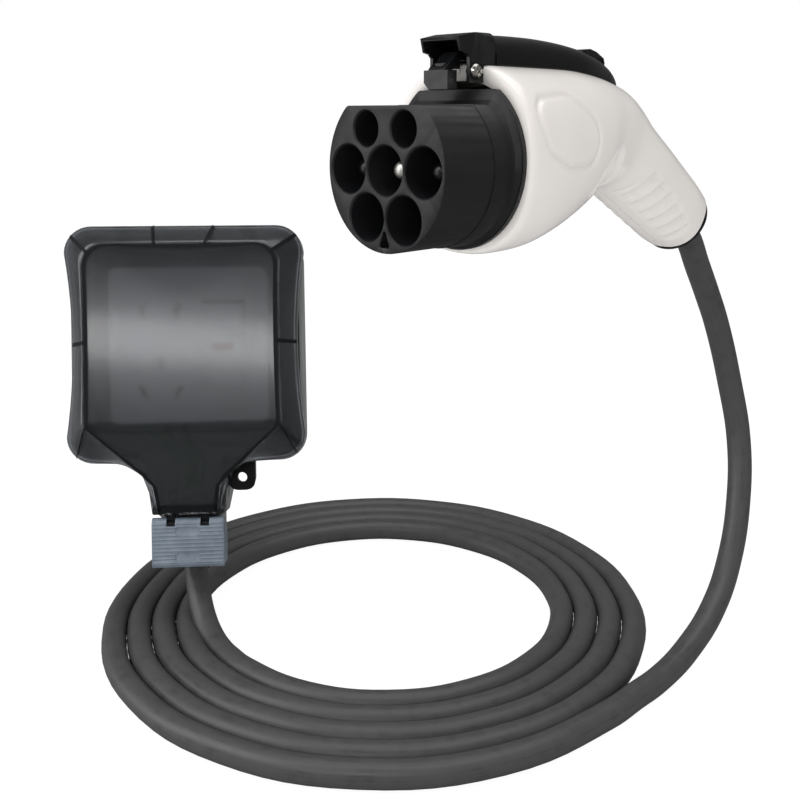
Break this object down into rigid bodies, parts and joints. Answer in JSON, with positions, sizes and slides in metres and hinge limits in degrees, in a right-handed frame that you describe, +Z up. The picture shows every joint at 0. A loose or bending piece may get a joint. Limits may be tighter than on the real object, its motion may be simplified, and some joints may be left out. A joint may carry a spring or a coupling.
{
  "type": "vehicle-to-load adapter",
  "caption": "Charging plug with latch and pistol grip on a coiled rubber lead to a weatherproof socket box with hinged smoked lid.",
  "frame": {"origin": "middle of the plug's mating face, on the nose axis", "axes": "-Y out of the nose towards the vehicle, +Z up through the latch; the box and the coiled lead lie beside and below the plug"},
  "size_m": [0.3262, 0.3217, 0.3053],
  "materials": {
    "black_insulator": "satin moulded",
    "gasket_rubber": "matt",
    "bright_pin": "bright plated",
    "plated_pin": "bright plated",
    "white_shell": "gloss moulded",
    "zinc_screw": "zinc plated",
    "bright_screw": "bright plated",
    "gloss_black": "gloss moulded",
    "spring_steel": "drawn wire",
    "cap_rubber": "satin",
    "clamp_plastic": "moulded",
    "core_insulation": "extruded",
    "resistor_body": "lacquered",
    "cord_rubber": "satin extruded",
    "base_plastic": "moulded",
    "smoked_lid": "smoked translucent",
    "clip_plastic": "moulded",
    "plate_plastic": "gloss moulded",
    "contact_brass": "stamped",
    "mark_red": "moulded"
  },
  "bodies": {
    "adapter": {"nose": "black_insulator", "nose_gasket": "gasket_rubber", "earth_pin": "bright_pin", "power_pins": "plated_pin", "power_pin_caps": "black_insulator", "signal_pins": "plated_pin", "shell_right": "white_shell", "shell_left": "white_shell", "shell_screws": "zinc_screw", "top_cover": "gloss_black", "latch_hood": "gloss_black", "hood_screws": "bright_screw", "pivot_pin": "zinc_screw", "latch_spring": "spring_steel", "handle_cap": "cap_rubber", "cord_clamp": "clamp_plastic", "clamp_screws": "zinc_screw", "core_wires": "core_insulation", "coding_resistor": "resistor_body", "plug_lead": "cord_rubber", "coil": "cord_rubber", "box_lead": "cord_rubber", "box_base": "base_plastic", "box_gasket": "gasket_rubber", "hinge_pins": "zinc_screw", "cable_grommet": "gasket_rubber", "box_cord_clamp": "clamp_plastic", "box_clamp_screws": "zinc_screw", "wall_plate": "plate_plastic", "socket_insert": "plate_plastic", "socket_contacts": "contact_brass", "mechanism_frame": "clamp_plastic", "plate_screws": "zinc_screw", "box_wires": "core_insulation"},
    "latch": {"latch_lever": "black_insulator", "release_button": "gloss_black"},
    "box_lid": {"lid": "smoked_lid", "clip_pin": "zinc_screw"},
    "clip": {"lid_clip": "clip_plastic"},
    "rocker": {"switch_rocker": "plate_plastic", "rocker_mark": "mark_red"}
  },
  "joints": [
    {"name": "latch_pivot", "type": "hinge", "parent": "adapter", "child": "latch", "pos_m": [0, 0.07, 0.042], "axis": [-1, 0, 0], "range_deg": [0, 4], "stiffness_Nm_per_rad": 0.9, "springref_deg": -5.73, "deforming": ["latch_spring"]},
    {"name": "lid_hinge", "type": "hinge", "parent": "adapter", "child": "box_lid", "pos_m": [-0.21182, 0.05362, -0.0445], "axis": [-0.6561, -0.7547, 0], "range_deg": [0, 110]},
    {"name": "clip_hinge", "type": "hinge", "parent": "box_lid", "child": "clip", "pos_m": [-0.16596, 0.01375, -0.19229], "axis": [-0.6561, -0.7547, 0], "range_deg": [0, 75]},
    {"name": "rocker_pivot", "type": "hinge", "parent": "adapter", "child": "rocker", "pos_m": [-0.19047, 0.06024, -0.10522], "axis": [-0.6561, -0.7547, 0], "range_deg": [0, 14]}
  ]
}
